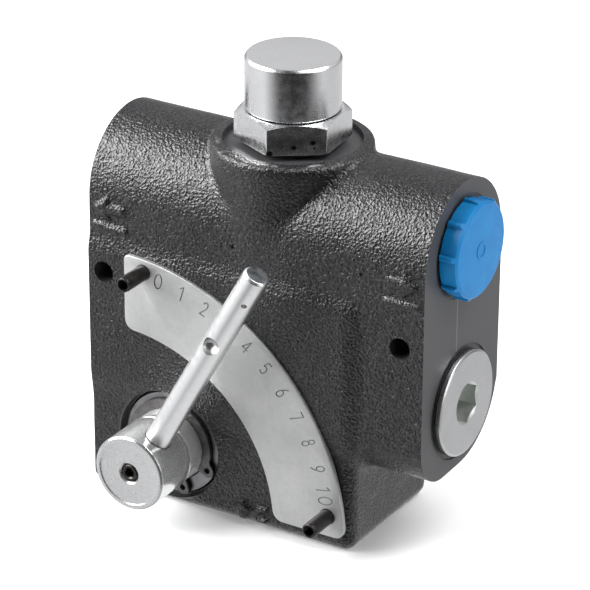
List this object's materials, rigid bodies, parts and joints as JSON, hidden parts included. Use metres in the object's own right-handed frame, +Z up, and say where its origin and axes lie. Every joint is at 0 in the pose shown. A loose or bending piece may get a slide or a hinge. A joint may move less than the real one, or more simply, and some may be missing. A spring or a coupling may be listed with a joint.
{
  "type": "flow control valve",
  "caption": "Cast hydraulic flow control valve with rotary lever and numbered dial, relief cartridge on top and threaded side and bottom ports.",
  "frame": {"origin": "centre of the flat back mounting face, level with the two mounting holes", "axes": "+X towards the excess-flow port with the blue shipping cap, +Y out of the back mounting face, +Z up towards the relief cap"},
  "size_m": [0.1291, 0.0713, 0.1528],
  "materials": {
    "body_paint": "semi-gloss black paint over a grainy casting",
    "zinc_plate": "bright zinc, satin",
    "dial_metal": "matte",
    "dark_steel": "phosphated, oiled",
    "machined_steel": "turned",
    "spring_steel": "drawn wire",
    "seal_rubber": "matte",
    "blue_plastic": "moulded polyethylene, satin"
  },
  "bodies": {
    "valve": {"valve_body": "body_paint", "dial_plate": "dial_metal", "stop_pin_zero": "dark_steel", "stop_pin_ten": "dark_steel", "spindle_bush": "machined_steel", "relief_cartridge": "zinc_plate", "cartridge_seal": "seal_rubber", "nose_seal": "seal_rubber", "relief_seat": "machined_steel", "compensator_plug": "zinc_plate", "compensator_plug_seal": "seal_rubber", "spring_plug": "zinc_plate", "spring_plug_seal": "seal_rubber", "compensator_spring": "spring_steel", "relief_spring": "spring_steel"},
    "control": {"rotary_spool": "machined_steel", "spindle_ring": "dark_steel", "spindle_oring": "seal_rubber", "control_hub": "zinc_plate", "control_lever": "zinc_plate", "hub_set_screw": "dark_steel"},
    "compensator": {"compensator_spool": "machined_steel"},
    "poppet": {"relief_poppet": "machined_steel"},
    "button": {"spring_button": "machined_steel"},
    "adjuster": {"adjusting_screw": "zinc_plate", "adjuster_seal": "seal_rubber"},
    "locknut": {"lock_nut": "zinc_plate"},
    "cap": {"relief_cap": "zinc_plate"},
    "shipping_cap": {"ef_port_cap": "blue_plastic"}
  },
  "joints": [
    {"name": "lever_turn", "type": "hinge", "parent": "valve", "child": "control", "pos_m": [-0.0317, -0.0483, -0.0558], "axis": [0, 1, 0], "range_deg": [-29.5, 61.2]},
    {"name": "compensator_travel", "type": "slide", "parent": "valve", "child": "compensator", "axis": [-1, 0, 0], "range_m": [0, 0.008], "stiffness_N_per_m": 1500, "springref_m": -0.008, "deforming": ["compensator_spring"]},
    {"name": "relief_lift", "type": "slide", "parent": "valve", "child": "poppet", "axis": [0, 0, 1], "range_m": [0, 0.0025], "stiffness_N_per_m": 1500, "springref_m": -0.006, "deforming": ["relief_spring"]},
    {"name": "adjuster_travel", "type": "slide", "parent": "valve", "child": "button", "axis": [0, 0, -1], "range_m": [-0.001, 0.002], "deforming": ["relief_spring"]},
    {"name": "adjuster_turn", "type": "hinge", "parent": "button", "child": "adjuster", "pos_m": [0, -0.025, 0.062], "axis": [0, 0, -1], "range_deg": [-370, 730]},
    {"name": "lock_nut_turn", "type": "hinge", "parent": "valve", "child": "locknut", "pos_m": [0, -0.025, 0.068], "axis": [0, 0, 1], "range_deg": [0, 180]},
    {"name": "cap_lift", "type": "slide", "parent": "valve", "child": "cap", "axis": [0, 0, 1], "range_m": [0, 0.03]},
    {"name": "shipping_cap_pull", "type": "slide", "parent": "valve", "child": "shipping_cap", "axis": [1, 0, 0], "range_m": [0, 0.02]}
  ],
  "couplings": [
    {"joint": "adjuster_turn", "follows": "adjuster_travel", "rad_per_m": 6283}
  ]
}
